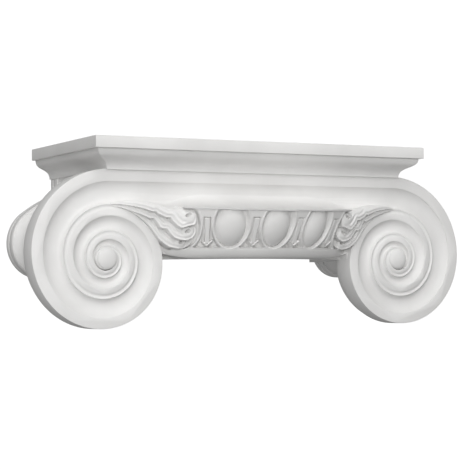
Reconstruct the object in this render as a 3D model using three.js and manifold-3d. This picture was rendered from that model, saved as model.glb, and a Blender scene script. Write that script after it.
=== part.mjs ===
import * as THREE from 'three';
import { mergeVertices } from 'three/addons/utils/BufferGeometryUtils.js';
import Module from 'manifold-3d';

// Half capital of the Ionic order, moulded in one piece, for a half-round column against a wall.
// Millimetres, +Z up. The wall is the plane Y = 0, the front looks towards -Y, X = 0 is the middle.
// Heights are counted from the level of the volute eyes, and depths from the wall outwards.

// Abacus
const abacusHalfWidth = 188;
const abacusDepth = 170;
const abacusTop = 117.5;
const fasciaHeight = 11.7;
const fasciaStep = 4;
const cymaInset = 19.6;
const cymaPull = 0.62;

// Volutes and the canalis between them
const faceDepth = 147.5;
const eyeSpacing = 335;
const voluteRadius = 87.5;
const eyeRadius = 11;
const eyeHeight = 4;
const voluteTurns = 3;
const firstQuarterDropShare = 0.12;
const bandShare = 0.14;
const innerBandShare = 0.046;
const channelDepth = 7;
const innerChannelDepth = 3.5;
const flankThickness = 21;
const flankStep = 2.2;

// Bolsters that run back from the volutes to the wall, and the belt strip around their ends
const neckHalfWidth = 167;
const waistRadius = 36;
const waistSpacing = 342;
const waistLevel = 14;
const waistDepth = 58;
const beltRadius = 43;
const beltSpacing = 357;
const beltLevel = 16;
const beltWidth = 18;
const beltProud = 1.5;
const neckFillet = 14;

// Echinus, a half-round cushion that leans out to its lip, with its eggs and darts
const echinusRadius = 197.5;
const echinusHeight = 47.5;
const echinusLean = 20.8;
const lowerBandHeight = 8.3;
const lowerBandInset = 9;
const lowerBandProud = 1;
const groundSink = 5;
const lipThickness = 3;
const lipEdge = 0.6;
const covePull = 3;
const coveRise = 5;
const coveDrop = 19.6;
const coveFullReach = 85;
const coveEndTop = 54;
const echinusEndReach = 14;
const echinusEndLap = 5;
const eggPitchDegrees = 15;
const eggCount = 3;
const eggHalfWidth = 16;
const eggHalfHeight = 21.5;
const eggLevel = 33.5;
const eggDepth = 12;
const eggProud = 1.5;
const huskWidth = 4.6;
const dartWidth = 5;
const dartTop = 39.5;
const dartBottom = 13;
const dartDepth = 8;

// Socket under the echinus that takes the top of the shaft
const shaftRadius = 146;
const socketHeight = 12;

// Corner palmettes: lobes that spring from the volute's band and end in round tips on the echinus
const cornerSink = 6;
const leafTips = [
  { spread: 76, proud: 23.5, level: 43, halfWidth: 9.5 },
  { spread: 78, proud: 17, level: 27, halfWidth: 6.8 },
  { spread: 75, proud: 7, level: 16, halfWidth: 5.5 },
];
const leafRootSpread = 6;
const leafRise = 6;
const leafEdgeDrop = 3.5;

// Point on the wall face where the part is held, over the level of the eyes
const originLevel = 75;

const eyeX = eyeSpacing / 2;
const firstQuarterDrop = firstQuarterDropShare * voluteRadius;
const bandWidth = bandShare * voluteRadius;
const innerBandWidth = innerBandShare * voluteRadius;
const coveTop = voluteRadius - coveDrop;
const quarter = Math.PI / 2;
const quarterCount = voluteTurns * 4;

// Points nearer than this are one point
const weldDistance = 1e-4;

const wasm = await Module();
wasm.setup();

function solidFrom(geometry) {
  const bare = geometry.index ? geometry.toNonIndexed() : geometry.clone();
  for (const name of Object.keys(bare.attributes)) {
    if (name !== 'position') {
      bare.deleteAttribute(name);
    }
  }
  const merged = mergeVertices(bare, weldDistance);
  const index = merged.index.array;
  const triangles = [];
  for (let i = 0; i < index.length; i += 3) {
    const [a, b, c] = [index[i], index[i + 1], index[i + 2]];
    if (a !== b && b !== c && c !== a) {
      triangles.push(a, b, c);
    }
  }
  return new wasm.Manifold(new wasm.Mesh({
    numProp: 3,
    vertProperties: new Float32Array(merged.attributes.position.array),
    triVerts: new Uint32Array(triangles),
  }));
}

// A closed skin through rings of points that all have the same number of points.
function loftSolid(rings) {
  const count = rings[0].length;
  const positions = [];
  const put = (...points) => points.forEach((p) => positions.push(p.x, p.y, p.z));
  for (let i = 0; i + 1 < rings.length; i += 1) {
    for (let j = 0; j < count; j += 1) {
      const next = (j + 1) % count;
      const [a, b, c, d] = [rings[i][j], rings[i][next], rings[i + 1][next], rings[i + 1][j]];
      put(a, b, c);
      put(a, c, d);
    }
  }
  capRing(rings[0], put, true);
  capRing(rings[rings.length - 1], put, false);
  const geometry = new THREE.BufferGeometry();
  geometry.setAttribute('position', new THREE.Float32BufferAttribute(positions, 3));
  const solid = solidFrom(geometry);
  return solid.volume() < 0 ? solidFrom(flipped(geometry)) : solid;
}

// The end of a skin: its ring is projected on its own plane and filled with triangles.
function capRing(ring, put, isFirst) {
  const normal = new THREE.Vector3();
  ring.forEach((p, i) => {
    const q = ring[(i + 1) % ring.length];
    normal.add(new THREE.Vector3().crossVectors(p, q));
  });
  if (normal.lengthSq() < weldDistance ** 2) {
    return;
  }
  const toPlane = new THREE.Quaternion().setFromUnitVectors(normal.normalize(), new THREE.Vector3(0, 0, 1));
  const flat = ring.map((p) => {
    const turned = p.clone().applyQuaternion(toPlane);
    return new THREE.Vector2(turned.x, turned.y);
  });
  for (const [a, b, c] of THREE.ShapeUtils.triangulateShape(flat, [])) {
    if (isFirst) {
      put(ring[a], ring[c], ring[b]);
    } else {
      put(ring[a], ring[b], ring[c]);
    }
  }
}

function flipped(geometry) {
  const position = geometry.attributes.position;
  const positions = [];
  for (let i = 0; i < position.count; i += 3) {
    for (const k of [i, i + 2, i + 1]) {
      positions.push(position.getX(k), position.getY(k), position.getZ(k));
    }
  }
  const turned = new THREE.BufferGeometry();
  turned.setAttribute('position', new THREE.Float32BufferAttribute(positions, 3));
  return turned;
}

function boxSolid(x0, x1, y0, y1, z0, z1) {
  const box = new THREE.BoxGeometry(x1 - x0, y1 - y0, z1 - z0);
  box.translate((x0 + x1) / 2, (y0 + y1) / 2, (z0 + z1) / 2);
  return solidFrom(box);
}

// Outer edge of the spiral band, as a share of a radius, after a number of quarter turns.
function spiralRadius(quarters, radius = voluteRadius) {
  const eased = (eyeRadius - voluteRadius + quarterCount * firstQuarterDrop) / quarterCount ** 2;
  const q = Math.min(quarters, quarterCount);
  return (radius / voluteRadius) * (voluteRadius - firstQuarterDrop * q + eased * q * q);
}

// A point of the right-hand spiral: it starts at the top and winds outwards and down.
function spiralPoint(quarters, radius, centreX, centreZ) {
  const angle = quarters * quarter;
  return new THREE.Vector2(centreX + radius * Math.sin(angle), centreZ + radius * Math.cos(angle));
}

// One section of the right-hand half: neck, then the spiral round to the soffit, and the core.
function halfSection(depth, radius, centreX, centreZ, neck, top, fillet) {
  const coreX = eyeX - voluteRadius;
  const steps = 28;
  const fadeTurn = 0.35;
  let soffitTurn = 3;
  for (let pass = 0; pass < 30; pass += 1) {
    const z = spiralPoint(soffitTurn, spiralRadius(soffitTurn, radius), centreX, centreZ).y;
    soffitTurn -= z / (radius * quarter);
  }
  const outline = [new THREE.Vector2(coreX, top), new THREE.Vector2(neck, top)];
  const crown = centreZ + radius;
  outline.push(new THREE.Vector2(neck, Math.min(top, crown + fillet)));
  for (let i = 0; i <= steps; i += 1) {
    const turn = (soffitTurn * i) / steps;
    const lift = 0.4 * fillet * Math.max(0, 1 - turn / fadeTurn) ** 2;
    outline.push(spiralPoint(turn, spiralRadius(turn, radius) + lift, centreX, centreZ));
  }
  outline.push(new THREE.Vector2(coreX, 0));
  return outline.map((p) => new THREE.Vector3(p.x, -depth, p.y));
}

function smoothStep(t) {
  return 0.5 - 0.5 * Math.cos(Math.PI * t);
}

// Right half of the body: the volute's flank, the bolster drawn in to its waist, and the belt.
function bodyHalf() {
  const top = voluteRadius;
  const flankBack = faceDepth - flankThickness;
  const rings = [];
  const addRing = (depth, radius, centreX, centreZ, neck, fillet) => {
    rings.push(halfSection(depth, radius, centreX, centreZ, neck, top, fillet));
  };
  addRing(faceDepth, voluteRadius, eyeX, 0, eyeX, 0);
  addRing(flankBack, voluteRadius, eyeX, 0, eyeX, 0);
  const taperSteps = 9;
  for (let i = 0; i <= taperSteps; i += 1) {
    const t = smoothStep(i / taperSteps);
    addRing(
      THREE.MathUtils.lerp(flankBack, waistDepth, i / taperSteps),
      THREE.MathUtils.lerp(voluteRadius - flankStep, waistRadius, t),
      THREE.MathUtils.lerp(eyeX, waistSpacing / 2, t),
      THREE.MathUtils.lerp(0, waistLevel, t),
      THREE.MathUtils.lerp(eyeX, neckHalfWidth - beltProud, t),
      neckFillet * t,
    );
  }
  const flareSteps = 5;
  for (let i = 1; i <= flareSteps; i += 1) {
    const t = 1 - Math.sqrt(1 - (i / flareSteps) ** 2);
    addRing(
      THREE.MathUtils.lerp(waistDepth, beltWidth, i / flareSteps),
      THREE.MathUtils.lerp(waistRadius, beltRadius - beltProud, t),
      THREE.MathUtils.lerp(waistSpacing / 2, beltSpacing / 2, t),
      THREE.MathUtils.lerp(waistLevel, beltLevel, t),
      neckHalfWidth - beltProud,
      neckFillet,
    );
  }
  for (const depth of [beltWidth - 0.5, 0]) {
    addRing(depth, beltRadius, beltSpacing / 2, beltLevel, neckHalfWidth, neckFillet);
  }
  return loftSolid(rings);
}

// Closed outline of the abacus in section, half of it, from the middle outwards.
function abacusOutline(reach) {
  const fasciaBottom = abacusTop - fasciaHeight;
  const drop = fasciaBottom - voluteRadius;
  const inset = cymaInset - fasciaStep;
  const start = new THREE.Vector2(reach - fasciaStep, fasciaBottom);
  const cyma = new THREE.CubicBezierCurve(
    start,
    new THREE.Vector2(start.x, start.y - cymaPull * drop),
    new THREE.Vector2(start.x - inset, start.y - (1 - cymaPull) * drop),
    new THREE.Vector2(start.x - inset, voluteRadius),
  );
  return [new THREE.Vector2(reach, abacusTop), new THREE.Vector2(reach, fasciaBottom), ...cyma.getPoints(10)];
}

// The moulding is mitred at its corners where its side and front runs cross.
function abacusSolid() {
  const side = abacusOutline(abacusHalfWidth);
  const otherSide = side.map((p) => new THREE.Vector2(-p.x, p.y)).reverse();
  const sideShape = new THREE.Shape([...side, ...otherSide]);
  const alongDepth = new THREE.ExtrudeGeometry(sideShape, { depth: abacusDepth, bevelEnabled: false });
  alongDepth.rotateX(quarter);
  const front = abacusOutline(abacusDepth);
  const frontShape = new THREE.Shape([
    new THREE.Vector2(0, abacusTop),
    ...front,
    new THREE.Vector2(0, voluteRadius),
  ]);
  const alongWidth = new THREE.ExtrudeGeometry(frontShape, {
    depth: 2 * abacusHalfWidth,
    bevelEnabled: false,
  });
  alongWidth.rotateX(quarter);
  alongWidth.rotateZ(-quarter);
  alongWidth.translate(abacusHalfWidth, 0, 0);
  return solidFrom(alongDepth).intersect(solidFrom(alongWidth));
}

// Section of the channel between two turns of the band: a small step, a round hollow, a shoulder.
function channelSection(outer, inner, depth) {
  const width = outer - inner;
  const shape = [
    [0, 1], [0, 0], [0.02, -0.2], [0.15, -0.66], [0.35, -0.95], [0.55, -1], [0.75, -0.82], [0.9, -0.48],
    [1, -0.1], [1, 1],
  ];
  return shape.map(([across, height]) => ({ across: outer - across * width, height: height * depth }));
}

// Cutter for the channel: it winds out of the left eye, runs through the canalis and into the right one.
function channelCutter() {
  const stepsPerQuarter = 5;
  const lastTurn = quarterCount - 0.5;
  const half = [];
  for (let i = 0; i <= lastTurn * stepsPerQuarter; i += 1) {
    const turn = i / stepsPerQuarter;
    const share = turn / quarterCount;
    const band = THREE.MathUtils.lerp(bandWidth, innerBandWidth, share);
    const outer = spiralRadius(turn) - band;
    const inner = Math.max(spiralRadius(turn + 4), eyeRadius);
    const depth = THREE.MathUtils.lerp(channelDepth, innerChannelDepth, share);
    const fade = Math.min(1, (lastTurn - turn) * 2 + 0.1);
    half.push(channelSection(outer, Math.min(inner, outer - 0.6), depth * fade).map(({ across, height }) => {
      const p = spiralPoint(turn, across, eyeX, 0);
      return new THREE.Vector3(p.x, -faceDepth - height, p.y);
    }));
  }
  const mirrored = half.map((ring) => ring.map((p) => new THREE.Vector3(-p.x, p.y, p.z)));
  return loftSolid([...half.reverse(), ...mirrored]);
}

// Sunk ground of the corner palmette, between the echinus and the outer edge of the volute's band.
function cornerPocket() {
  const coreX = eyeX - voluteRadius;
  const rim = Array.from({ length: 9 }, (_, i) => {
    const turn = 3 + i / 8;
    return spiralPoint(turn, spiralRadius(turn), eyeX, 0);
  });
  const shape = new THREE.Shape([...rim, new THREE.Vector2(coreX, rim[8].y), new THREE.Vector2(coreX, -1)]);
  const pocket = new THREE.ExtrudeGeometry(shape, { depth: 2 * cornerSink, bevelEnabled: false });
  pocket.rotateX(quarter);
  pocket.translate(0, cornerSink - faceDepth, 0);
  return solidFrom(pocket);
}

// Outer reach of the carving at a level: least over the lower band, most at the lip.
function standingRadius(level) {
  return echinusRadius - (echinusLean * (echinusHeight - level)) / (echinusHeight - lowerBandHeight);
}

// Profile of the echinus from the axis outwards: shaft seat, lower band, sunk ground and lip.
function echinusProfile() {
  const bandFront = standingRadius(lowerBandHeight) + lowerBandProud;
  const foot = bandFront - lowerBandInset;
  const points = [new THREE.Vector2(0, 0)];
  const band = new THREE.QuadraticBezierCurve(
    new THREE.Vector2(foot, 0),
    new THREE.Vector2(bandFront, 0),
    new THREE.Vector2(bandFront, lowerBandHeight),
  );
  points.push(...band.getPoints(5));
  const lipBottom = echinusHeight - lipThickness;
  for (const level of [lowerBandHeight, lipBottom]) {
    points.push(new THREE.Vector2(standingRadius(level) - groundSink, level));
  }
  for (const level of [echinusHeight - lipEdge, coveTop]) {
    points.push(new THREE.Vector2(standingRadius(level), level));
  }
  points.push(new THREE.Vector2(0, coveTop));
  return points;
}

// Everything below the slope that runs from the canalis down and out to the lip, straight along the front.
// Towards its ends the slope sinks behind the palmettes.
function underSlope(reach, behind, low, drop) {
  const coveBack = faceDepth - channelDepth - 1;
  return loftSolid([-reach, -coveFullReach, coveFullReach, reach].map((x) => {
    const sink = Math.abs(x) > coveFullReach ? 1 : 0;
    const top = THREE.MathUtils.lerp(coveTop, coveEndTop, sink);
    const rise = coveRise * ((top - echinusHeight) / (coveTop - echinusHeight));
    const cove = new THREE.QuadraticBezierCurve(
      new THREE.Vector2(echinusRadius, echinusHeight),
      new THREE.Vector2(coveBack + covePull, echinusHeight + rise),
      new THREE.Vector2(coveBack, top),
    );
    const outline = [new THREE.Vector2(2 * echinusRadius, echinusHeight), ...cove.getPoints(8)];
    outline.push(new THREE.Vector2(behind, top));
    const upper = outline.map((p) => new THREE.Vector3(x, -p.x, p.y - drop));
    return [new THREE.Vector3(x, -behind, low), new THREE.Vector3(x, -2 * echinusRadius, low), ...upper];
  }));
}

function echinusSolid() {
  const lathe = new THREE.LatheGeometry(echinusProfile(), 72);
  lathe.rotateX(quarter);
  const reach = eyeX - spiralRadius(3) + echinusEndReach;
  const behind = faceDepth - flankThickness - echinusEndLap;
  return solidFrom(lathe).intersect(underSlope(reach, behind, -1, 0));
}

// Puts a shape made round the origin, front to -Y, on the half-round at an angle from the middle.
// The shape leans out as the half-round does, and its origin lies a depth behind the standing surface.
function ontoRound(geometry, degrees, behind, level) {
  const lean = echinusLean / (echinusHeight - lowerBandHeight);
  geometry.applyMatrix4(new THREE.Matrix4().makeShear(0, 0, 0, 0, 0, -lean));
  geometry.translate(0, behind - standingRadius(level), level);
  geometry.rotateZ(THREE.MathUtils.degToRad(degrees));
  return solidFrom(geometry);
}

function eggSolid(degrees) {
  const egg = new THREE.SphereGeometry(1, 16, 10);
  egg.rotateX(quarter);
  egg.scale(eggHalfWidth, eggDepth, eggHalfHeight);
  return ontoRound(egg, degrees, eggDepth - eggProud, eggLevel);
}

// Raised border round an egg. The outermost ones border the palmettes instead.
function huskSolid(degrees) {
  const husk = new THREE.TorusGeometry(1, 0.5 * huskWidth / eggHalfWidth, 6, 20);
  husk.rotateX(quarter);
  const halfWidth = eggHalfWidth + 0.5 * huskWidth;
  husk.scale(halfWidth, 2 * eggHalfWidth, eggHalfHeight + 0.5 * huskWidth);
  return ontoRound(husk, degrees, huskWidth, eggLevel);
}

function dartSolid(degrees) {
  const shape = new THREE.Shape([
    new THREE.Vector2(-dartWidth / 2, dartTop),
    new THREE.Vector2(-dartWidth / 2, dartBottom + 4),
    new THREE.Vector2(-dartWidth, dartBottom + 4),
    new THREE.Vector2(0, dartBottom - 2),
    new THREE.Vector2(dartWidth, dartBottom + 4),
    new THREE.Vector2(dartWidth / 2, dartBottom + 4),
    new THREE.Vector2(dartWidth / 2, dartTop),
  ]);
  const dart = new THREE.ExtrudeGeometry(shape, { depth: dartDepth, bevelEnabled: false });
  dart.rotateX(quarter);
  return ontoRound(dart, degrees, dartDepth, 0);
}

// One lobe of the right-hand palmette: a ridged blade that widens from its root to a round tip.
function leafSolid(tip) {
  const root = new THREE.Vector3(eyeX - leafRootSpread, -faceDepth, spiralRadius(4) + 1);
  const end = new THREE.Vector3(eyeX - tip.spread, -faceDepth - tip.proud, tip.level);
  const middle = root.clone().lerp(end, 0.45).add(new THREE.Vector3(0, 0, leafRise));
  const path = new THREE.QuadraticBezierCurve3(root, middle, end);
  const back = -faceDepth + cornerSink + 2;
  const steps = 7;
  const stations = Array.from({ length: steps + 1 }, (_, i) => {
    const t = i / steps;
    const direction = path.getTangent(t);
    return { centre: path.getPoint(t), direction, half: tip.halfWidth * (0.12 + 0.88 * t ** 0.8) };
  });
  const last = stations[steps];
  for (const angle of [30, 60, 85]) {
    const turn = THREE.MathUtils.degToRad(angle);
    const centre = last.centre.clone().addScaledVector(last.direction, tip.halfWidth * Math.sin(turn));
    stations.push({ centre, direction: last.direction, half: tip.halfWidth * Math.cos(turn) });
  }
  const shape = [[-1, 1], [-0.5, 0.3], [0, 0], [0.5, 0.3], [1, 1]];
  return loftSolid(stations.map(({ centre, direction, half }) => {
    const across = new THREE.Vector3(-direction.z, 0, direction.x).normalize();
    const ring = shape.map(([side, drop]) => {
      const point = centre.clone().addScaledVector(across, side * half);
      point.y += drop * leafEdgeDrop;
      return point;
    });
    const ends = [ring[shape.length - 1], ring[0]].map((p) => new THREE.Vector3(p.x, back, p.z));
    return [...ring, ...ends];
  }));
}

function mirrored(solid) {
  return solid.mirror([1, 0, 0]);
}

function eyeSolid() {
  const dome = new THREE.SphereGeometry(1, 20, 10);
  dome.rotateX(quarter);
  dome.scale(eyeRadius, eyeHeight, eyeRadius);
  dome.translate(eyeX, -faceDepth, 0);
  return solidFrom(dome);
}

function capitalSolid() {
  const half = bodyHalf();
  const coreX = eyeX - voluteRadius + 1;
  let capital = half.add(mirrored(half));
  capital = capital.add(boxSolid(-coreX, coreX, -faceDepth, 0, 0, voluteRadius));
  capital = capital.subtract(channelCutter());
  const pocket = cornerPocket();
  capital = capital.subtract(pocket).subtract(mirrored(pocket));
  capital = capital.add(echinusSolid());
  const eye = eyeSolid();
  capital = capital.add(eye).add(mirrored(eye));
  const carving = [];
  for (let i = 0; i < eggCount; i += 1) {
    carving.push(eggSolid((i - (eggCount - 1) / 2) * eggPitchDegrees));
  }
  for (let i = 0; i < eggCount + 2; i += 1) {
    carving.push(huskSolid((i - (eggCount + 1) / 2) * eggPitchDegrees));
  }
  for (let i = 0; i <= eggCount; i += 1) {
    carving.push(dartSolid((i - eggCount / 2) * eggPitchDegrees));
  }
  const underLip = underSlope(eyeX, 0, lowerBandHeight, lipEdge);
  for (const piece of carving) {
    capital = capital.add(piece.intersect(underLip));
  }
  for (const tip of leafTips) {
    const leaf = leafSolid(tip);
    capital = capital.add(leaf).add(mirrored(leaf));
  }
  capital = capital.add(abacusSolid());
  const socket = new THREE.CylinderGeometry(shaftRadius, shaftRadius, 2 * socketHeight, 60);
  socket.rotateX(quarter);
  return capital.subtract(solidFrom(socket));
}

function meshFrom(solid, name, material) {
  const data = solid.getMesh();
  const geometry = new THREE.BufferGeometry();
  geometry.setAttribute('position', new THREE.BufferAttribute(data.vertProperties, 3));
  geometry.setIndex(new THREE.BufferAttribute(data.triVerts, 1));
  geometry.computeVertexNormals();
  const mesh = new THREE.Mesh(geometry, material);
  mesh.name = name;
  return mesh;
}

const whitePrimer = new THREE.MeshStandardMaterial({ color: 0xe9e8e6, roughness: 0.62, metalness: 0 });

const capital = meshFrom(capitalSolid(), 'capital', whitePrimer);
capital.position.z = -originLevel;

const model = new THREE.Group();
model.add(capital);

export default model;
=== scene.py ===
from math import cos, pi, radians, sin, sqrt

import bmesh
import bpy
from mathutils import Matrix, Vector


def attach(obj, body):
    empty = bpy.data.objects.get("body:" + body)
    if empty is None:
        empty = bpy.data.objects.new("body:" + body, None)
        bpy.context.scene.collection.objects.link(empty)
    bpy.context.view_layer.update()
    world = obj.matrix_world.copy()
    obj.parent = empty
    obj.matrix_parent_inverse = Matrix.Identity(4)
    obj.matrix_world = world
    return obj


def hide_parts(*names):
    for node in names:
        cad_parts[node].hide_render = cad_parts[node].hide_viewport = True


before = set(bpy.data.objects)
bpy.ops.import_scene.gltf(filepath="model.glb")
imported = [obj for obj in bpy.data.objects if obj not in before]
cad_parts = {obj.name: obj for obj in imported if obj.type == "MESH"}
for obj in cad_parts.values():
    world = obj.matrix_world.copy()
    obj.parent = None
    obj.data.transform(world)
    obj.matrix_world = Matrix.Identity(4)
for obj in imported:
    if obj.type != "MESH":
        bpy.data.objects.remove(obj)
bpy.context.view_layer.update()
print("frame loaded")

# Everything is modelled in millimetres, with heights from the volute eyes and the wall at Y = 0.
# The finished mesh is brought to metres and lowered to the row's origin at the very end.
originLevel = 75
quarterTurn = pi / 2


def lerp(a, b, t):
    return a + (b - a) * t


def easeInOut(t):
    return 0.5 - 0.5 * cos(pi * t)


def ramp(value, low, high):
    # 0 at low and before, 1 at high and beyond, with soft ends
    t = min(1, max(0, (value - low) / (high - low)))
    return t * t * (3 - 2 * t)


def curvePoints(start, pullA, pullB, end, count):
    # a cubic curve through a section, as points from start to end
    guides = (start, pullA, pullB, end)
    found = []
    for i in range(count + 1):
        t = i / count
        weights = ((1 - t) ** 3, 3 * t * (1 - t) ** 2, 3 * t * t * (1 - t), t ** 3)
        found.append(tuple(sum(w * p[k] for w, p in zip(weights, guides)) for k in (0, 1)))
    return found


def solidObject(name, bm):
    bmesh.ops.remove_doubles(bm, verts=bm.verts, dist=0.002)
    bmesh.ops.dissolve_degenerate(bm, edges=bm.edges, dist=0.001)
    bmesh.ops.recalc_face_normals(bm, faces=bm.faces)
    if bm.calc_volume(signed=True) < 0:
        bmesh.ops.reverse_faces(bm, faces=bm.faces)
    mesh = bpy.data.meshes.new(name)
    bm.to_mesh(mesh)
    bm.free()
    piece = bpy.data.objects.new(name, mesh)
    bpy.context.scene.collection.objects.link(piece)
    return piece


def sweepMesh(rings):
    # a section is drawn once and extruded from ring to ring, and each old end inside the sweep is dropped
    bm = bmesh.new()
    face = bm.faces.new([bm.verts.new(p) for p in rings[0]])
    inside = []
    for ring in rings[1:]:
        made = bmesh.ops.extrude_face_region(bm, geom=[face])
        if inside:
            bmesh.ops.delete(bm, geom=inside, context="FACES_ONLY")
        face = next(part for part in made["geom"] if isinstance(part, bmesh.types.BMFace))
        for vert, place in zip(face.verts, ring):
            vert.co = place
        inside = [face]
    return bm


def sweptSolid(name, rings):
    return solidObject(name, sweepMesh(rings))


def boxSolid(name, low, high):
    bm = bmesh.new()
    bmesh.ops.create_cube(bm, size=1)
    middle = (Vector(low) + Vector(high)) / 2
    bmesh.ops.scale(bm, vec=Vector(high) - Vector(low), verts=bm.verts)
    bmesh.ops.translate(bm, vec=middle, verts=bm.verts)
    return solidObject(name, bm)


def mirrorCopy(piece):
    bm = bmesh.new()
    bm.from_mesh(piece.data)
    bmesh.ops.scale(bm, vec=(-1, 1, 1), verts=bm.verts)
    return solidObject(piece.name + "Left", bm)


def combine(target, tool, way):
    # joins, cuts or trims one closed solid with another and keeps the result as the target's mesh
    joiner = target.modifiers.new("combine", "BOOLEAN")
    joiner.solver = "MANIFOLD"
    joiner.operation = way
    joiner.object = tool
    result = bpy.data.meshes.new_from_object(target.evaluated_get(bpy.context.evaluated_depsgraph_get()))
    target.modifiers.clear()
    spent = target.data
    target.data = result
    bpy.data.meshes.remove(spent)
    toolMesh = tool.data
    bpy.data.objects.remove(tool)
    bpy.data.meshes.remove(toolMesh)
    return target


volute = {
    "faceDepth": 147.5,       # from the wall to the face of the bands
    "eyeX": 167.5,
    "radius": 87.5,
    "eyeRadius": 11.0,
    "domeRadius": 10.4,
    "domeHeight": 4.0,
    "turns": 3,
    "firstQuarterDrop": 10.5, # how much the spiral draws in over its first quarter turn
    "bandWidth": 12.25,
    "innerBandWidth": 4.0,
    "channelDepth": 5.5,
    "innerChannelDepth": 3.2,
    "ridgeWidth": 2.0,        # the low ridge in the channel beside the next turn
    "flankThickness": 21.0,
    "flankStep": 2.2,         # down from the flank to the bolster behind it
    "flankQuirk": 1.0,        # the fine groove in that step
    "edgeRound": 0.7,
    "ringPoints": 84,
    "sweepSteps": 14,
}
bolster = {
    "neckHalfWidth": 167.0,
    "waistRadius": 36.0,
    "waistX": 171.0,
    "waistLevel": 14.0,
    "waistDepth": 58.0,
    "beltRadius": 43.0,
    "beltX": 178.5,
    "beltLevel": 16.0,
    "beltWidth": 18.0,
    "beltProud": 1.5,
    "beltGroove": 2.0,
    "beltGrooveDepth": 7.6,   # from the wall to the groove between the belt's two rolls
    "neckFillet": 14.0,
    "filletLift": 0.4,        # how far the top of the roll rises into the fillet, as a share of it
    "filletEnd": 0.35,        # the quarter turns over which that rise fades out
    "taperSteps": 30,
    "flareSteps": 12,
}
quarterCount = volute["turns"] * 4


def spiralRadius(quarters, radius=volute["radius"]):
    whole, eye, drop = volute["radius"], volute["eyeRadius"], volute["firstQuarterDrop"]
    eased = (eye - whole + quarterCount * drop) / quarterCount ** 2
    q = min(quarters, quarterCount)
    return radius / whole * (whole - drop * q + eased * q * q)


def spiralPoint(quarters, radius, centreX, centreZ):
    angle = quarters * quarterTurn
    return centreX + radius * sin(angle), centreZ + radius * cos(angle)


voluteInner = volute["eyeX"] - spiralRadius(3)   # where the volutes' inner sides cross the eyes' level


def bolsterRing(depth, radius, centreX, centreZ, neck, fillet):
    # one outline across the roll: flat core and neck, then the spiral round to the level of the eyes
    top, coreX = volute["radius"], volute["eyeX"] - volute["radius"]
    turnEnd = 3.0
    for _ in range(30):
        height = spiralPoint(turnEnd, spiralRadius(turnEnd, radius), centreX, centreZ)[1]
        turnEnd -= height / (radius * quarterTurn)
    points = [(coreX, top), (neck, top), (neck, min(top, centreZ + radius + fillet))]
    for i in range(volute["ringPoints"] + 1):
        turn = turnEnd * i / volute["ringPoints"]
        lift = bolster["filletLift"] * fillet * max(0, 1 - turn / bolster["filletEnd"]) ** 2
        points.append(spiralPoint(turn, spiralRadius(turn, radius) + lift, centreX, centreZ))
    points.append((coreX, 0))
    return [Vector((x, -depth, z)) for x, z in points]


def makeBodyHalf():
    face, eyeX, radius = volute["faceDepth"], volute["eyeX"], volute["radius"]
    edge, flankBack = volute["edgeRound"], volute["faceDepth"] - volute["flankThickness"]
    step, quirk = volute["flankStep"], volute["flankQuirk"]
    waist, belt = bolster["waistDepth"], bolster["beltWidth"]
    neckInner = bolster["neckHalfWidth"] - bolster["beltProud"]
    corner = (0, pi / 6, pi / 3, pi / 2)
    rings = []
    eased = [(edge * (1 - cos(a)), radius - edge * (1 - sin(a))) for a in corner]
    for inset, reach in eased:
        rings.append(bolsterRing(face - inset, reach, eyeX, 0, eyeX, 0))
    for inset, reach in reversed(eased):
        rings.append(bolsterRing(flankBack + inset, reach, eyeX, 0, eyeX, 0))
    for depth, sink in ((flankBack, step + quirk), (flankBack - quirk, step + quirk)):
        rings.append(bolsterRing(depth, radius - sink, eyeX, 0, eyeX, 0))
    taperSteps, flareSteps = bolster["taperSteps"], bolster["flareSteps"]
    taperFront = flankBack - 1.6 * quirk
    for i in range(taperSteps + 1):
        t = easeInOut(i / taperSteps)
        rings.append(bolsterRing(
            lerp(taperFront, waist, i / taperSteps), lerp(radius - step, bolster["waistRadius"], t),
            lerp(eyeX, bolster["waistX"], t), lerp(0, bolster["waistLevel"], t),
            lerp(eyeX, neckInner, t), bolster["neckFillet"] * t))
    beltGround = bolster["beltRadius"] - bolster["beltProud"]
    for i in range(1, flareSteps + 1):
        t = 1 - sqrt(1 - (i / flareSteps) ** 2)
        rings.append(bolsterRing(
            lerp(waist, belt + quirk, i / flareSteps), lerp(bolster["waistRadius"], beltGround, t),
            lerp(bolster["waistX"], bolster["beltX"], t),
            lerp(bolster["waistLevel"], bolster["beltLevel"], t),
            neckInner, bolster["neckFillet"]))
    # a quirk, the front roll, the groove and the roll at the wall
    groove, low = bolster["beltGrooveDepth"], bolster["beltGroove"]
    beltSection = (
        (belt + 0.8, 3.0), (belt + 0.1, 3.0),
        (belt, 1.0), (belt - 0.5, 0.4), (belt - 1.6, 0.05), (lerp(belt, groove, 0.5), 0),
        (groove + 1.7, 0.1), (groove + 0.8, 0.5), (groove + 0.5, low),
        (groove - 0.5, low), (groove - 0.8, 0.5), (groove - 1.7, 0.1),
        (0.5 * groove, 0), (0, 0.2))
    for depth, sink in beltSection:
        rings.append(bolsterRing(
            depth, bolster["beltRadius"] - sink, bolster["beltX"], bolster["beltLevel"],
            bolster["neckHalfWidth"] - sink, bolster["neckFillet"]))
    return sweptSolid("bodyHalf", rings)


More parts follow.
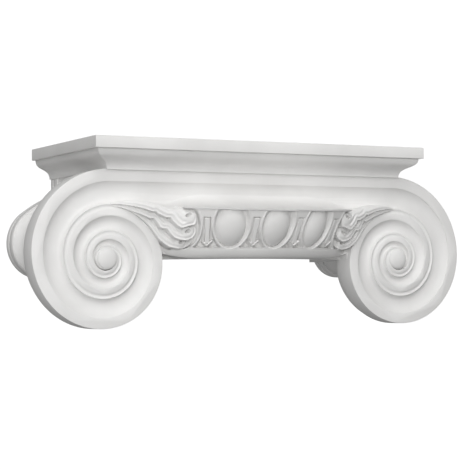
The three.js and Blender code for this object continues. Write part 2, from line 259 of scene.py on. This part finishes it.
def channelSection(turn, depth):
    # a small step inside the band, a wide hollow, a low ridge and a soft dip into the next turn's band
    share = turn / quarterCount
    outer = spiralRadius(turn) - lerp(volute["bandWidth"], volute["innerBandWidth"], share)
    inner = min(max(spiralRadius(turn + 4), volute["eyeRadius"]), outer - 1.2)
    ridge = min(volute["ridgeWidth"] * lerp(1, 0.6, share), 0.25 * (outer - inner))
    hollow = outer - inner - 1.3 * ridge
    dip = min(1, max(0.05, (quarterCount - 2 - turn) / 2))
    section = [(outer + 0.4, 0.25), (outer + 0.4, 0.0), (outer + 0.05, -0.03)]
    hollowSide = ((0.0, -0.17), (0.06, -0.34), (0.14, -0.54), (0.23, -0.72), (0.33, -0.86), (0.44, -0.95),
                  (0.56, -0.99), (0.68, -0.99), (0.78, -0.95), (0.86, -0.87), (0.92, -0.74), (0.96, -0.59),
                  (0.99, -0.45))
    ridgeSide = ((1.24, -0.31), (1.12, -0.2), (0.98, -0.14), (0.8, -0.13), (0.5, -0.18), (0.15, -0.24))
    dipSide = ((-0.25, -0.26), (-0.65, -0.24), (-1.0, -0.17), (-1.3, -0.09), (-1.55, -0.03), (-1.7, 0.0))
    section += [(outer - across * hollow, height) for across, height in hollowSide]
    section += [(inner + across * ridge, height) for across, height in ridgeSide]
    section += [(inner + across * ridge * dip, height * dip) for across, height in dipSide]
    section.append((inner - 1.75 * ridge * dip, 0.25))
    return [(across, height * depth) for across, height in section]


def makeChannelCutter():
    # one sweep from the right eye out along the canalis and in to the left eye
    lastTurn = quarterCount - 0.4
    perQuarter = volute["sweepSteps"]
    half = []
    for i in range(int(lastTurn * perQuarter) + 1):
        turn = i / perQuarter
        depth = lerp(volute["channelDepth"], volute["innerChannelDepth"], turn / quarterCount)
        depth *= min(1, (lastTurn - turn) * 2 + 0.1)
        ring = []
        for across, height in channelSection(turn, depth):
            x, z = spiralPoint(turn, across, volute["eyeX"], 0)
            ring.append(Vector((x, -volute["faceDepth"] - height, z)))
        half.append(ring)
    mirrored = [[Vector((-p.x, p.y, p.z)) for p in ring] for ring in half]
    return sweptSolid("channel", half[::-1] + mirrored)


def makeEye(side):
    bm = bmesh.new()
    bmesh.ops.create_uvsphere(bm, u_segments=48, v_segments=24, radius=1)
    bmesh.ops.rotate(bm, cent=(0, 0, 0), matrix=Matrix.Rotation(quarterTurn, 3, "X"), verts=bm.verts)
    size = (volute["domeRadius"], volute["domeHeight"], volute["domeRadius"])
    bmesh.ops.scale(bm, vec=size, verts=bm.verts)
    bmesh.ops.translate(bm, vec=(side * volute["eyeX"], -volute["faceDepth"], 0), verts=bm.verts)
    return solidObject("eye", bm)


abacus = {
    "halfWidth": 188.0,
    "depth": 170.0,
    "top": 117.5,
    "fasciaHeight": 11.7,
    "fasciaStep": 4.0,
    "cymaInset": 19.6,
    "cymaPull": 0.62,         # how far the cyma keeps upright at both ends, as a share of its height
    "edgeRound": 0.5,
    "curveSteps": 22,
}


def abacusProfile(reach):
    # fascia with eased edges, step and cyma, as (distance from the middle or the wall, level)
    edge, top = abacus["edgeRound"], abacus["top"]
    low = top - abacus["fasciaHeight"]
    foot = volute["radius"]
    step = reach - abacus["fasciaStep"]
    inner = reach - abacus["cymaInset"]
    pull = abacus["cymaPull"] * (low - foot)
    profile = [(reach - edge, top), (reach - 0.3 * edge, top - 0.3 * edge), (reach, top - edge),
               (reach, low + edge), (reach - 0.3 * edge, low + 0.3 * edge), (reach - edge, low)]
    return profile + curvePoints((step, low), (step, low - pull), (inner, foot + pull), (inner, foot - 1),
                                 abacus["curveSteps"])


def makeAbacus():
    half = abacusProfile(abacus["halfWidth"])
    outline = half + [(-x, z) for x, z in reversed(half)]
    run = sweptSolid("abacus", [[Vector((x, y, z)) for x, z in outline] for y in (-abacus["depth"] - 5, 0)])
    front = [(0, abacus["top"])] + abacusProfile(abacus["depth"]) + [(0, volute["radius"] - 1)]
    across = sweptSolid("abacusFront", [[Vector((x, -depth, z)) for depth, z in front]
                                        for x in (-abacus["halfWidth"] - 5, abacus["halfWidth"] + 5)])
    return combine(run, across, "INTERSECT")


echinus = {
    "radius": 197.05,
    "height": 47.5,
    "lean": 20.8,             # how much further the lip stands out than the lower band
    "belly": 0.7,
    "bellyLevel": 28.0,
    "bellyReach": 19.6,
    "bandHeight": 8.3,
    "bandInset": 9.0,
    "bandProud": 0.3,
    "bandEndRise": 6.0,       # the band's lower edge sweeps up to the volutes
    "bandEndReach": 64.0,
    "bandEndPast": 125.0,
    "bandEndBack": 100.0,
    "bandEndRecess": 20.0,
    "bandSteps": 14,
    "endReach": 14.0,
    "endLap": 5.0,
    "spinSteps": 240,
    "baseSink": 9.5,
    "lipProud": 0.4,
    "lipThickness": 1.2,
    "lipSlope": 0.085,
    "coveDrop": 19.6,         # from the top of the volutes to where the slope over the lip begins
    "covePull": 1.0,
    "coveRise": 6.5,
    "coveFullReach": 60.0,    # further out the slope sinks behind the palmettes
    "coveEndTop": 54.0,
    "coveStations": 60,
    "coveSteps": 24,
}


def standing(level):
    # how far the husks and tongues stand out from the axis, least over the lower band
    e = echinus
    belly = e["belly"] * (1 - ((level - e["bellyLevel"]) / e["bellyReach"]) ** 2)
    return e["radius"] + belly - e["lean"] * (e["height"] - level) / (e["height"] - e["bandHeight"])


def echinusProfile():
    band, inset = echinus["bandHeight"], echinus["bandInset"]
    top = volute["radius"] - echinus["coveDrop"]
    front = standing(band) + echinus["bandProud"]
    foot = front - inset
    profile = [(0, 0)]
    profile += curvePoints((foot, 0), (foot + 0.4 * inset, 0.06 * band), (front - 0.3 * inset, 0.4 * band),
                           (front, band), echinus["bandSteps"])
    profile += [(front - 0.3, band + 0.2), (standing(band) - echinus["baseSink"], band + 0.2)]
    profile += [(standing(top) - echinus["baseSink"], top), (0, top)]
    return profile


def makeUnderSlope(reach, behind):
    # all that lies below the slope from the canalis down and out to the lip, straight along the front
    front, lip = echinus["radius"] + echinus["lipProud"], echinus["height"]
    back = volute["faceDepth"] - volute["channelDepth"] - 1
    pulled = back + echinus["covePull"]
    fullTop = volute["radius"] - echinus["coveDrop"]
    stations, steps = echinus["coveStations"], echinus["coveSteps"]
    rings = []
    for i in range(stations + 1):
        x = lerp(-reach, reach, i / stations)
        top = lerp(fullTop, echinus["coveEndTop"], ramp(abs(x), echinus["coveFullReach"], reach))
        rise = echinus["coveRise"] * (top - lip) / (fullTop - lip)
        slope = [(front, lip)]
        for k in range(1, steps + 1):
            t = k / steps
            slope.append((front * (1 - t) ** 2 + 2 * t * (1 - t) * pulled + back * t * t,
                          lip * (1 - t) ** 2 + 2 * t * (1 - t) * (lip + rise) + top * t * t))
        outline = [(behind, -1), (2 * front, -1), (2 * front, lip)] + slope + [(behind, top)]
        rings.append([Vector((x, -depth, z)) for depth, z in outline])
    return sweptSolid("underSlope", rings)


def makeBandEndCutter(side, farEnd, back):
    # clears what lies under the rising ends of the lower band, from the front to the given depth
    near, rise, below, front, count = echinus["bandEndReach"], echinus["bandEndRise"], -3, 250, 30
    rings = []
    for i in range(count + 1):
        across = lerp(near, farEnd, i / count)
        share = (across - near) / (voluteInner - near)
        top = rise * share ** 2 - 0.02
        outline = ((back, below), (front, below), (front, top), (back, top))
        rings.append([Vector((side * across, -depth, z)) for depth, z in outline])
    return sweptSolid("bandEnd", rings)


def makeEchinus():
    bm = bmesh.new()
    points = [bm.verts.new((radius, 0, level)) for radius, level in echinusProfile()]
    edges = [bm.edges.new(pair) for pair in zip(points, points[1:])]
    bmesh.ops.spin(bm, geom=points + edges, cent=(0, 0, 0), axis=(0, 0, 1), angle=2 * pi,
                   steps=echinus["spinSteps"], use_merge=True)
    cushion = solidObject("echinus", bm)
    combine(cushion, makeCarvedRound(), "UNION")
    for side in (-1, 1):
        bandEnd = makeBandEndCutter(side, echinus["bandEndPast"], echinus["bandEndBack"])
        combine(cushion, bandEnd, "DIFFERENCE")
    reach = voluteInner + echinus["endReach"]
    back = volute["faceDepth"] - volute["flankThickness"] - echinus["endLap"]
    return combine(cushion, makeUnderSlope(reach, back), "INTERSECT")


carving = {
    "reach": 34.0,            # degrees from the middle
    "angleStep": 0.18,
    "levelStep": 0.55,
    "inner": 120.0,
    "top": 53.0,
    "pitch": 15.0,            # degrees from egg to egg
    "eggs": 3,
    "eggHalfWidth": 16.0,
    "eggHalfHeight": 21.5,
    "eggLevel": 33.5,
    "eggProud": 1.5,
    "eggDepth": 9.5,
    "eggTilt": 0.15,          # the eggs lean less than the husks
    "gapSink": 5.2,           # the floor between an egg and its husk
    "endSink": 6.0,
    "fadeFrom": 28.6,         # beyond this many degrees the carving sinks behind the palmettes
    "fadeWidth": 1.6,
    "fadeSink": 9.0,
    "fadeLevels": (44, 47),
    "huskSlope": 2.7,
    "huskRim": 3.9,
    "huskWidth": 4.6,
    "groundSink": 6.0,
    "groundRise": (17.0, 32.0),
    "groundShown": 0.9,
    "footRise": (2.2, 3.2),   # over the lower band, where the ground starts to sink
    "panelLevel": 39.7,       # the top of the groove round a tongue
    "tongueHalfWidth": 2.5,
    "tongueEdge": (-0.5, 0.3),
    "tongueBottom": 14.0,
    "tongueEase": 0.6,
    "grooveReach": 3.1,
    "grooveCore": 0.2,
    "grooveWidth": 0.75,
    "grooveDepth": 0.6,
    "grooveTop": 0.8,
    "arrowHalfWidth": 5.3,
    "arrowPoint": 12.4,
    "arrowSlope": 0.85,
    "arrowThickness": 1.9,
    "arrowProud": 1.04,
}


def carvedRadius(angle, level):
    # how far the carved round stands out from its axis
    c = carving
    faded = ramp(abs(angle), c["fadeFrom"], c["fadeFrom"] + c["fadeWidth"]) * ramp(level, *c["fadeLevels"])
    rim = standing(level) - c["fadeSink"] * faded
    lip = echinus["height"] + echinus["lipSlope"] * echinus["radius"] * (1 - cos(radians(angle)))
    if level > lip - echinus["lipThickness"]:
        return rim + echinus["lipProud"]
    # the nearest egg, and how far this spot lies outside its oval
    outermost = (c["eggs"] + 1) // 2
    place = max(-outermost, min(outermost, round(angle / c["pitch"])))
    along = radians(angle - place * c["pitch"]) * rim
    over = level - c["eggLevel"]
    halfWidth, halfHeight = c["eggHalfWidth"], c["eggHalfHeight"]
    size = max(1e-6, sqrt((along / halfWidth) ** 2 + (over / halfHeight) ** 2))
    steepness = max(1e-6, sqrt((along / halfWidth ** 2) ** 2 + (over / halfHeight ** 2) ** 2))
    away = (size - 1) * size / steepness
    if size < 1:
        if abs(place) == outermost:
            return rim - c["endSink"]
        swell = c["eggProud"] - c["eggTilt"] * over - c["eggDepth"] * (1 - sqrt(1 - size * size))
        return rim + max(-c["gapSink"], swell)
    if away < c["huskSlope"]:
        deepest = c["endSink"] if abs(place) == outermost else c["gapSink"]
        return rim - deepest * (1 - ramp(away, 0, c["huskSlope"]))
    # outside the husks: 1 is flush with them and 0 is the sunk ground
    shown = 1 - ramp(away, c["huskRim"], c["huskWidth"])
    shown = max(shown, c["groundShown"] * ramp(level, *c["groundRise"]))
    shown = max(shown, 1 - ramp(level - echinus["bandHeight"], *c["footRise"]))
    nearest = (int(abs(angle) / c["pitch"]) + 0.5) * c["pitch"]
    beside = radians(abs(abs(angle) - nearest)) * rim
    aboveTip = ramp(level, c["tongueBottom"], c["tongueBottom"] + c["tongueEase"])
    tongue = 1 - ramp(beside - c["tongueHalfWidth"], *c["tongueEdge"])
    shown = max(shown, c["groundShown"] * tongue * aboveTip)
    fromSides, fromTop = abs(beside - c["grooveReach"]), level - c["panelLevel"]
    groove = 1 - ramp(max(fromSides, fromTop), c["grooveCore"], c["grooveWidth"])
    if beside < c["grooveReach"]:
        groove = max(groove, c["grooveTop"] * (1 - ramp(abs(fromTop), c["grooveCore"], c["grooveWidth"])))
    shown = min(shown, 1 - c["grooveDepth"] * groove * aboveTip)
    off = abs(level - c["arrowPoint"] - c["arrowSlope"] * beside) / c["arrowThickness"]
    if off < 1 and beside < c["arrowHalfWidth"]:
        shown = max(shown, c["arrowProud"] * sqrt(1 - off * off))
    return rim - c["groundSink"] * (1 - shown)


def makeCarvedRound():
    inner, low, top = carving["inner"], echinus["bandHeight"] - 0.6, carving["top"]
    count = int((top - low) / carving["levelStep"])
    levels = [lerp(low, top, i / count) for i in range(count + 1)]
    rings = []
    steps = int(2 * carving["reach"] / carving["angleStep"])
    for i in range(steps + 1):
        angle = lerp(-carving["reach"], carving["reach"], i / steps)
        carved = [(carvedRadius(angle, level), level) for level in levels]
        section = [(inner, low)] + carved + [(inner, top)]
        a = radians(angle)
        rings.append([Vector((radius * sin(a), -radius * cos(a), level)) for radius, level in section])
    return sweptSolid("carvedRound", rings)


palmette = {
    "cornerSink": 6.0,        # of the ground behind the leaves, from the volute's face
    "cell": 0.62,
    "low": (72.0, 5.0),
    "high": (166.0, 60.0),
    "backDepth": 136.0,
    "hiddenDepth": 138.0,
    "edgeRound": 1.6,
    "edgeDrop": 3.0,
    "crownRound": 7.0,
    "crownDrop": 8.0,
    "flutePitch": 4.3,
    "fluteDepth": 0.95,
    "slenderRun": 40.0,       # over this length from its root a lobe gains its full relief
    "slenderLeast": 0.25,
    "knobRise": 1.4,
    "holeTilt": -22.0,
    "holeHalfWidth": 1.5,
    "holeDepth": 6.0,
    "crown": [(163, 54.6), (154.8, 56.0), (142.7, 57.3), (136.3, 57.3), (127.0, 56.0), (117.7, 54.0),
              (108.4, 51.8), (100.9, 50.0), (94.0, 49.6), (86.8, 49.4)],
    "lobes": [
        # scalloped lower edge from root to tip, then the round end, and the depths of root and tip
        {"edge": [(163, 52.6), (154.8, 52.7), (140.9, 50.5), (131.7, 48.1), (124.3, 45.1), (121.4, 45.4),
                  (119.6, 43.4), (115.0, 41.2), (111.3, 39.3), (107.8, 39.5), (105.7, 35.8), (101.0, 31.4),
                  (97.3, 29.0), (94.6, 29.4), (90.7, 30.9), (84.2, 32.4), (82.5, 37.2), (83.1, 44.1),
                  (86.8, 49.4)],
         "root": (162, 148), "tip": (91.4, 171), "hole": (91.1, 42.2), "holeLength": 3.0, "knob": 7.5},
        {"edge": [(160, 50.6), (154.0, 49.7), (144.5, 46.8), (134.9, 43.4), (128.2, 40.5), (124.4, 38.5),
                  (121.4, 38.9), (118.6, 35.1), (115.8, 30.7), (112.9, 28.8), (109.0, 28.8), (106.2, 24.8),
                  (102.3, 20.4), (96.5, 18.0), (89.7, 17.0), (83.9, 19.4), (80.6, 23.5), (79.6, 28.0),
                  (81.5, 33.0)],
         "root": (158, 147.5), "tip": (89.6, 164.5), "hole": (89.2, 26.5), "holeLength": 2.5, "knob": 6.0},
        {"edge": [(140, 44.0), (129.2, 36.5), (124.2, 31.4), (120.1, 26.0), (115.1, 19.2), (110.0, 14.8),
                  (103.9, 10.9), (94.6, 9.0), (88.4, 9.9), (83.0, 13.0), (79.6, 17.4), (78.0, 22.0),
                  (80.0, 26.0)],
         "root": (154, 147), "tip": (92.4, 156.4), "hole": (92.5, 16.0), "holeLength": 2.2, "knob": 5.0},
    ],
}


def distanceTo(line, x, z):
    # from a point to a line of straight pieces
    best = 1e9
    for (ax, az), (bx, bz) in zip(line, line[1:]):
        dx, dz = bx - ax, bz - az
        t = max(0, min(1, ((x - ax) * dx + (z - az) * dz) / (dx * dx + dz * dz)))
        best = min(best, (x - ax - t * dx) ** 2 + (z - az - t * dz) ** 2)
    return sqrt(best)


def isInside(outline, x, z):
    inside = False
    for (ax, az), (bx, bz) in zip(outline, outline[1:] + outline[:1]):
        if (az > z) != (bz > z) and x < ax + (z - az) / (bz - az) * (bx - ax):
            inside = not inside
    return inside


def palmetteDepth(x, z):
    # the foremost lobe that covers this spot, with rounded edges, fine flutes and a hole in its knob
    values = palmette
    for lobe in values["lobes"]:
        outline = lobe["edge"] + values["crown"][::-1]
        if not isInside(outline, x, z):
            continue
        (rootX, rootDepth), (tipX, tipDepth) = lobe["root"], lobe["tip"]
        depth = lerp(rootDepth, tipDepth, (rootX - x) / (rootX - tipX))
        slender = min(1, max(values["slenderLeast"], (rootX - x) / values["slenderRun"]))
        fromEdge = distanceTo(lobe["edge"], x, z)
        edgeRound = values["edgeRound"] * slender
        if fromEdge < edgeRound:
            depth -= values["edgeDrop"] * slender * (1 - sqrt(1 - (1 - fromEdge / edgeRound) ** 2))
        holeX, holeZ = lobe["hole"]
        fromHole = sqrt((x - holeX) ** 2 + (z - holeZ) ** 2)
        flute = 0.5 - 0.5 * cos(2 * pi * fromEdge / (values["flutePitch"] * lerp(0.45, 1, slender)))
        flute *= ramp(fromHole, 0.7 * lobe["knob"], 1.2 * lobe["knob"])
        depth -= values["fluteDepth"] * slender * flute
        depth += values["knobRise"] * max(0, 1 - (fromHole / lobe["knob"]) ** 2)
        if lobe is values["lobes"][0]:
            fromCrown = distanceTo(values["crown"], x, z)
            crownRound = values["crownRound"] * slender
            if fromCrown < crownRound:
                depth -= values["crownDrop"] * slender * (1 - sqrt(1 - (1 - fromCrown / crownRound) ** 2))
        tilt = radians(values["holeTilt"])
        alongHole = (x - holeX) * cos(tilt) + (z - holeZ) * sin(tilt)
        acrossHole = -(x - holeX) * sin(tilt) + (z - holeZ) * cos(tilt)
        inHole = (alongHole / lobe["holeLength"]) ** 2 + (acrossHole / values["holeHalfWidth"]) ** 2
        if inHole < 1:
            depth -= values["holeDepth"] * sqrt(1 - inHole)
        return depth
    return values["hiddenDepth"]


def makePalmette():
    (lowX, lowZ), (highX, highZ) = palmette["low"], palmette["high"]
    bm = bmesh.new()
    bmesh.ops.create_grid(bm, x_segments=int((highX - lowX) / palmette["cell"]),
                          y_segments=int((highZ - lowZ) / palmette["cell"]), size=0.5)
    for vert in bm.verts:
        x, z = lerp(lowX, highX, vert.co.x + 0.5), lerp(lowZ, highZ, vert.co.y + 0.5)
        vert.co = (x, -palmette["backDepth"], z)
    made = bmesh.ops.extrude_face_region(bm, geom=bm.faces[:])
    for part in made["geom"]:
        if isinstance(part, bmesh.types.BMVert):
            part.co.y = -palmetteDepth(part.co.x, part.co.z)
    return solidObject("palmette", bm)


def makeCornerPocket():
    # the sunk ground inside the volute's upper inner quarter
    face, sink, eyeX, count = volute["faceDepth"], palmette["cornerSink"], volute["eyeX"], 24
    coreX = eyeX - volute["radius"]
    rim = [spiralPoint(3 + i / count, spiralRadius(3 + i / count), eyeX, 0) for i in range(count + 1)]
    outline = rim + [(coreX, rim[-1][1]), (coreX, -1)]
    rings = [[Vector((x, y, z)) for x, z in outline] for y in (-face - sink, -face + sink)]
    return sweptSolid("pocket", rings)


shaftSocket = {
    "radius": 146.0,
    "height": 12.0,
    "segments": 180,
}


def makeSocketCutter():
    radius, height, segments = shaftSocket["radius"], shaftSocket["height"], shaftSocket["segments"]
    bm = bmesh.new()
    bmesh.ops.create_cone(bm, cap_ends=True, segments=segments, radius1=radius, radius2=radius,
                          depth=2 * height)
    return solidObject("socket", bm)


def makeCapital():
    coreX = volute["eyeX"] - volute["radius"] + 1
    capital = makeBodyHalf()
    combine(capital, mirrorCopy(capital), "UNION")
    core = boxSolid("core", (-coreX, -volute["faceDepth"], 0), (coreX, 0, volute["radius"]))
    combine(capital, core, "UNION")
    print("volutes and bolsters joined")
    combine(capital, makeChannelCutter(), "DIFFERENCE")
    pocket = makeCornerPocket()
    pocketLeft = mirrorCopy(pocket)
    combine(capital, pocket, "DIFFERENCE")
    combine(capital, pocketLeft, "DIFFERENCE")
    for side in (-1, 1):
        recessBack = volute["faceDepth"] - echinus["bandEndRecess"]
        combine(capital, makeBandEndCutter(side, voluteInner - 0.4, recessBack), "DIFFERENCE")
    combine(capital, makeEchinus(), "UNION")
    for side in (-1, 1):
        combine(capital, makeEye(side), "UNION")
    print("channel cut, echinus with eggs and darts joined, eyes joined")
    leaves = makePalmette()
    leavesLeft = mirrorCopy(leaves)
    combine(capital, leaves, "UNION")
    combine(capital, leavesLeft, "UNION")
    combine(capital, makeAbacus(), "UNION")
    combine(capital, makeSocketCutter(), "DIFFERENCE")
    print("palmettes, abacus and socket done")
    capital.name = "halfCapital"
    capital.data.name = "halfCapital"
    capital.data.transform(Matrix.Translation((0, 0, -originLevel * 0.001)) @ Matrix.Scale(0.001, 4))
    return capital


primer = {
    "colour": (0.80, 0.795, 0.785),
    "shade": (0.74, 0.735, 0.725),
    "roughness": 0.55,
    "mottleScale": 18.0,
    "grainScale": 900.0,
    "grainHeight": 0.00004,
}


def makeSurfaceGroup():
    # faint mottle and spray grain, shared by the capital and the backdrop
    group = bpy.data.node_groups.new("sprayedSurface", "ShaderNodeTree")
    for name, kind in (("Colour", "NodeSocketColor"), ("Shade", "NodeSocketColor"),
                       ("Mottle Scale", "NodeSocketFloat"), ("Grain Scale", "NodeSocketFloat"),
                       ("Roughness", "NodeSocketFloat")):
        group.interface.new_socket(name, in_out="INPUT", socket_type=kind)
    for name, kind in (("Colour", "NodeSocketColor"), ("Roughness", "NodeSocketFloat"),
                       ("Height", "NodeSocketFloat")):
        group.interface.new_socket(name, in_out="OUTPUT", socket_type=kind)
    nodes, links = group.nodes, group.links
    inlet = nodes.new("NodeGroupInput")
    outlet = nodes.new("NodeGroupOutput")
    place = nodes.new("ShaderNodeTexCoord")
    mottle = nodes.new("ShaderNodeTexNoise")
    mottle.inputs["Detail"].default_value = 4
    grain = nodes.new("ShaderNodeTexNoise")
    grain.inputs["Detail"].default_value = 2
    mix = nodes.new("ShaderNodeMix")
    mix.data_type = "RGBA"
    spread = nodes.new("ShaderNodeMapRange")
    spread.inputs["From Min"].default_value = 0.35
    spread.inputs["From Max"].default_value = 0.65
    rough = nodes.new("ShaderNodeMath")
    rough.operation = "MULTIPLY_ADD"
    rough.inputs[1].default_value = 0.08   # how much the mottle roughens the coat
    links.new(place.outputs["Object"], mottle.inputs["Vector"])
    links.new(place.outputs["Object"], grain.inputs["Vector"])
    links.new(inlet.outputs["Mottle Scale"], mottle.inputs["Scale"])
    links.new(inlet.outputs["Grain Scale"], grain.inputs["Scale"])
    links.new(mottle.outputs["Fac"], spread.inputs["Value"])
    links.new(spread.outputs["Result"], mix.inputs["Factor"])
    links.new(inlet.outputs["Shade"], mix.inputs["A"])
    links.new(inlet.outputs["Colour"], mix.inputs["B"])
    links.new(mottle.outputs["Fac"], rough.inputs[0])
    links.new(inlet.outputs["Roughness"], rough.inputs[2])
    links.new(mix.outputs["Result"], outlet.inputs["Colour"])
    links.new(rough.outputs["Value"], outlet.inputs["Roughness"])
    links.new(grain.outputs["Fac"], outlet.inputs["Height"])
    return group


def makeMaterial(name, values, group):
    material = bpy.data.materials.new(name)
    material.use_nodes = True
    nodes, links = material.node_tree.nodes, material.node_tree.links
    shader = nodes["Principled BSDF"]
    surface = nodes.new("ShaderNodeGroup")
    surface.node_tree = group
    surface.inputs["Colour"].default_value = (*values["colour"], 1)
    surface.inputs["Shade"].default_value = (*values["shade"], 1)
    surface.inputs["Mottle Scale"].default_value = values["mottleScale"]
    surface.inputs["Grain Scale"].default_value = values["grainScale"]
    surface.inputs["Roughness"].default_value = values["roughness"]
    bump = nodes.new("ShaderNodeBump")
    bump.inputs["Distance"].default_value = values["grainHeight"]
    bump.inputs["Strength"].default_value = 1
    links.new(surface.outputs["Colour"], shader.inputs["Base Color"])
    links.new(surface.outputs["Roughness"], shader.inputs["Roughness"])
    links.new(surface.outputs["Height"], bump.inputs["Height"])
    links.new(bump.outputs["Normal"], shader.inputs["Normal"])
    shader.inputs["Specular IOR Level"].default_value = 0.35
    return material


sprayed = makeSurfaceGroup()
capital = makeCapital()
capital.data.materials.clear()
capital.data.materials.append(makeMaterial("whitePrimer", primer, sprayed))
for face in capital.data.polygons:
    face.use_smooth = True
    face.material_index = 0
capital.data.set_sharp_from_angle(angle=radians(32))
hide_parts("capital")
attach(capital, "root")
triangles = sum(len(face.vertices) - 2 for face in capital.data.polygons)
print("capital finished,", triangles, "triangles")

studio = {
    "floorLevel": -0.42,
    "bowlRadius": 3.6,
    "bowlHeight": 4.5,
    "bend": 1.4,
    "skyStrength": 0.215,
    "lights": [
        # name, turn from the front, height over the horizon, power
        ("keyLight", -28, 10, 26.0),
        ("highLight", -26, 46, 19.0),
        ("lowLight", -60, -20, 6.0),
        ("farLight", 30, 36, 7.0),
        ("floorLight", 0, -25, 1.8),
    ],
    "lightDistance": 2.5,
    "lightSize": 1.0,
    "lens": 125.73,
    "cameraPlace": (-0.801889, -1.606475, -0.112536),
    "yaw": 0.488011907,
    "pitch": 0.0372523601,
    "roll": -0.0104968793,
}
backdrop = {
    "colour": (0.93, 0.93, 0.93),
    "shade": (0.91, 0.91, 0.91),
    "roughness": 0.85,
    "mottleScale": 2.0,
    "grainScale": 60.0,
    "grainHeight": 0.0002,
    "glow": 0.75,
}


def makeBackdrop():
    # a round bowl: a pale floor that bends up into a pale wall all round
    level, reach, bend = studio["floorLevel"], studio["bowlRadius"], studio["bend"]
    profile = [(0, level), (0.6, level), (reach - bend, level)]
    for i in range(1, 17):
        a = quarterTurn * i / 16
        profile.append((reach - bend + bend * sin(a), level + bend * (1 - cos(a))))
    profile.append((reach, studio["bowlHeight"]))
    bm = bmesh.new()
    points = [bm.verts.new((radius, 0, z)) for radius, z in profile]
    edges = [bm.edges.new(pair) for pair in zip(points, points[1:])]
    bmesh.ops.spin(bm, geom=points + edges, cent=(0, 0, 0), axis=(0, 0, 1), angle=2 * pi,
                   steps=96, use_merge=True)
    bmesh.ops.remove_doubles(bm, verts=bm.verts, dist=0.0001)
    bmesh.ops.recalc_face_normals(bm, faces=bm.faces)
    mesh = bpy.data.meshes.new("backdrop")
    bm.to_mesh(mesh)
    bm.free()
    sheet = bpy.data.objects.new("backdrop", mesh)
    bpy.context.scene.collection.objects.link(sheet)
    for face in mesh.polygons:
        face.use_smooth = True
    paper = makeMaterial("paleBackdrop", backdrop, sprayed)
    shader = paper.node_tree.nodes["Principled BSDF"]
    shader.inputs["Emission Color"].default_value = (1, 1, 1, 1)
    shader.inputs["Emission Strength"].default_value = backdrop["glow"]
    mesh.materials.append(paper)
    sheet.visible_diffuse = False   # it is only seen, the lamps alone light the capital
    sheet.visible_glossy = False
    sheet.visible_shadow = False
    return sheet


def addLight(name, turn, height, power):
    a, e = radians(turn), radians(height)
    aim = Vector((0, -0.08, -0.05))
    away = Vector((sin(a) * cos(e), -cos(a) * cos(e), sin(e)))
    data = bpy.data.lights.new(name, "AREA")
    data.shape = "DISK"
    data.energy = power
    data.size = studio["lightSize"]
    light = bpy.data.objects.new(name, data)
    light.location = aim + away * studio["lightDistance"]
    light.rotation_euler = (-away).to_track_quat("-Z", "Y").to_euler()
    bpy.context.scene.collection.objects.link(light)


def addCamera():
    yaw, pitch, roll = studio["yaw"], studio["pitch"], studio["roll"]
    ahead = Vector((sin(yaw) * cos(pitch), cos(yaw) * cos(pitch), sin(pitch)))
    right = Vector((cos(yaw), -sin(yaw), 0))
    up = right.cross(ahead)
    rightTurned = right * cos(roll) + up * sin(roll)
    upTurned = up * cos(roll) - right * sin(roll)
    data = bpy.data.cameras.new("camera")
    data.lens = studio["lens"]
    data.sensor_width = 36
    data.clip_start = 0.05
    data.clip_end = 50
    camera = bpy.data.objects.new("camera", data)
    turn = Matrix((rightTurned, upTurned, -ahead)).transposed()
    camera.matrix_world = Matrix.Translation(studio["cameraPlace"]) @ turn.to_4x4()
    bpy.context.scene.collection.objects.link(camera)
    bpy.context.scene.camera = camera


makeBackdrop()
for lamp in studio["lights"]:
    addLight(*lamp)
world = bpy.data.worlds.new("studioSky")
world.use_nodes = True
world.node_tree.nodes["Background"].inputs["Color"].default_value = (1, 1, 1, 1)
world.node_tree.nodes["Background"].inputs["Strength"].default_value = studio["skyStrength"]
bpy.context.scene.world = world
addCamera()
bpy.context.scene.view_settings.view_transform = "Standard"
print("studio ready")
